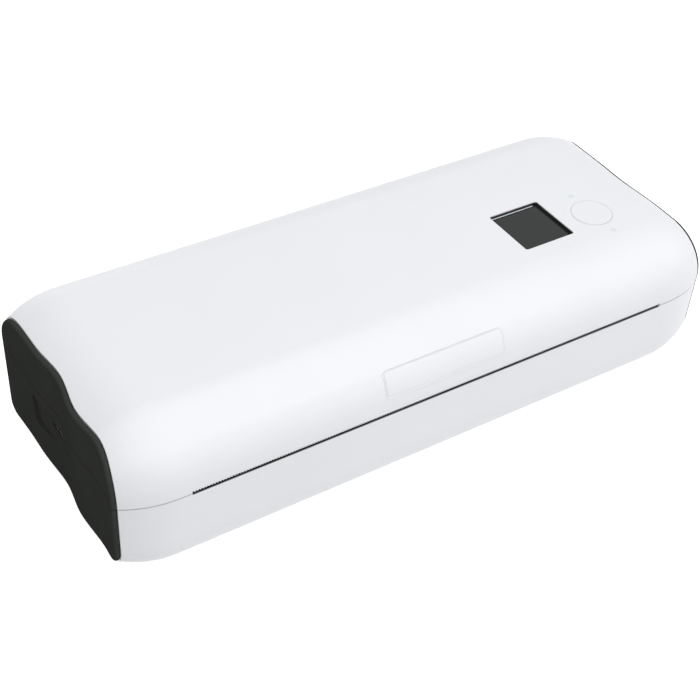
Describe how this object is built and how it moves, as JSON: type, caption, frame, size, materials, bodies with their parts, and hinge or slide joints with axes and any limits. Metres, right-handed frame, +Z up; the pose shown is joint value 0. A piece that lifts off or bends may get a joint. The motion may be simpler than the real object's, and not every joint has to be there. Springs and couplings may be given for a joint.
{
  "type": "portable thermal label printer",
  "caption": "White rounded portable thermal printer with dark wavy end caps, a paper slot along the front, and a lid that hinges open at the back over a roll bay.",
  "frame": {"origin": "on the table, under the middle of the printer's overall box (body and rear hinge barrels)", "axes": "+X along the length towards the end with the display, +Y to the back where the hinge is, +Z up"},
  "size_m": [0.2686, 0.1146, 0.0646],
  "materials": {
    "white_plastic": "satin gloss white ABS",
    "dark_plastic": "satin charcoal ABS",
    "inner_plastic": "moulded dark plastic",
    "acetal": "natural acetal",
    "sheet_steel": "zinc plated and stainless sheet steel",
    "turned_steel": "ground steel rod",
    "springs": "spring wire",
    "fasteners": "black zinc screws",
    "platen_rubber": "ground silicone rubber",
    "feet_rubber": "moulded rubber pads",
    "ceramic": "glazed alumina",
    "aluminium": "extruded aluminium",
    "circuit_board": "green solder mask",
    "chips": "moulded epoxy",
    "port_metal": "nickel plated steel",
    "cell_wrap": "blue shrink film",
    "window_glass": "tinted acrylic",
    "display_glass": "dark segment display",
    "light_pipe": "clear acrylic light pipes"
  },
  "bodies": {
    "base": {"base_shell": "white_plastic", "base_end_cap_left": "dark_plastic", "base_end_cap_right": "dark_plastic", "latch_strike_left": "sheet_steel", "latch_strike_right": "sheet_steel", "hinge_pin_left": "turned_steel", "hinge_pin_right": "turned_steel", "idler_axle": "turned_steel", "drive_motor": "sheet_steel", "motor_screws": "fasteners", "mechanism_frame": "sheet_steel", "head_rod": "turned_steel", "head_springs": "springs", "roll_trough": "inner_plastic", "media_sensor": "chips", "guide_axle": "turned_steel", "battery_cells": "cell_wrap", "battery_holder": "inner_plastic", "main_board": "circuit_board", "main_board_parts": "chips", "usb_board": "circuit_board", "usb_port": "port_metal", "cover_switch": "chips", "case_screws": "fasteners", "rubber_feet": "feet_rubber"},
    "lid": {"lid_shell": "white_plastic", "lid_end_cap_left": "dark_plastic", "lid_end_cap_right": "dark_plastic", "tear_bar": "sheet_steel", "latch_springs": "springs", "platen_carrier_left": "sheet_steel", "platen_carrier_right": "sheet_steel", "platen_bushing_left": "acetal", "platen_bushing_right": "acetal", "lid_liner": "inner_plastic", "liner_screws": "fasteners", "board_screws": "fasteners", "lid_board": "circuit_board", "display_window": "window_glass", "display_panel": "display_glass", "power_switch": "chips", "status_light": "light_pipe", "charge_light": "light_pipe"},
    "platen": {"platen_roller": "platen_rubber", "platen_shaft": "turned_steel", "platen_gear": "acetal"},
    "idler": {"idler_gear": "acetal"},
    "pinion": {"motor_pinion": "acetal", "motor_shaft": "turned_steel"},
    "head": {"print_head": "ceramic", "heat_sink": "aluminium"},
    "guide_left": {"roll_guide_left": "inner_plastic"},
    "guide_right": {"roll_guide_right": "inner_plastic"},
    "guide_gear": {"guide_pinion": "acetal"},
    "power_button": {"power_button": "white_plastic", "switch_plunger": "acetal"},
    "latch_button": {"latch_button": "white_plastic"},
    "latch_bar": {"latch_bar": "inner_plastic"}
  },
  "joints": [
    {"name": "lid_hinge", "type": "hinge", "parent": "base", "child": "lid", "pos_m": [0, 0.05415, 0.0398], "axis": [-1, 0, 0], "range_deg": [0, 100]},
    {"name": "platen_spin", "type": "hinge", "parent": "lid", "child": "platen", "pos_m": [0, -0.04215, 0.0456], "axis": [1, 0, 0], "continuous": true},
    {"name": "idler_spin", "type": "hinge", "parent": "base", "child": "idler", "pos_m": [0, -0.03721, 0.03038], "axis": [1, 0, 0], "continuous": true},
    {"name": "pinion_spin", "type": "hinge", "parent": "base", "child": "pinion", "pos_m": [0, -0.02941, 0.01924], "axis": [1, 0, 0], "continuous": true},
    {"name": "head_tilt", "type": "hinge", "parent": "base", "child": "head", "pos_m": [0, -0.03165, 0.0345], "axis": [1, 0, 0], "range_deg": [0, 3], "stiffness_Nm_per_rad": 0.4, "springref_deg": -28.65, "deforming": ["head_springs"]},
    {"name": "guide_left_slide", "type": "slide", "parent": "base", "child": "guide_left", "axis": [1, 0, 0], "range_m": [0, 0.075]},
    {"name": "guide_right_slide", "type": "slide", "parent": "base", "child": "guide_right", "axis": [1, 0, 0], "range_m": [-0.075, 0]},
    {"name": "guide_gear_turn", "type": "hinge", "parent": "base", "child": "guide_gear", "pos_m": [0, 0.0098, 0.004], "axis": [0, 0, 1], "range_deg": [0, 720]},
    {"name": "power_button_press", "type": "slide", "parent": "lid", "child": "power_button", "axis": [0, 0, -1], "range_m": [0, 0.0004], "stiffness_N_per_m": 200, "springref_m": -0.002},
    {"name": "latch_button_press", "type": "slide", "parent": "lid", "child": "latch_button", "axis": [0, 0.8805, -0.4741], "range_m": [0, 0.0016], "stiffness_N_per_m": 300, "springref_m": -0.002},
    {"name": "latch_bar_swing", "type": "hinge", "parent": "lid", "child": "latch_bar", "pos_m": [0, -0.04325, 0.056], "axis": [1, 0, 0], "range_deg": [0, 11]}
  ],
  "couplings": [
    {"joint": "idler_spin", "follows": "platen_spin", "ratio": -0.81818},
    {"joint": "pinion_spin", "follows": "platen_spin", "ratio": 1.5},
    {"joint": "guide_right_slide", "follows": "guide_left_slide", "ratio": -1},
    {"joint": "guide_gear_turn", "follows": "guide_left_slide", "rad_per_m": 166.67},
    {"joint": "latch_bar_swing", "follows": "latch_button_press", "rad_per_m": 115}
  ]
}
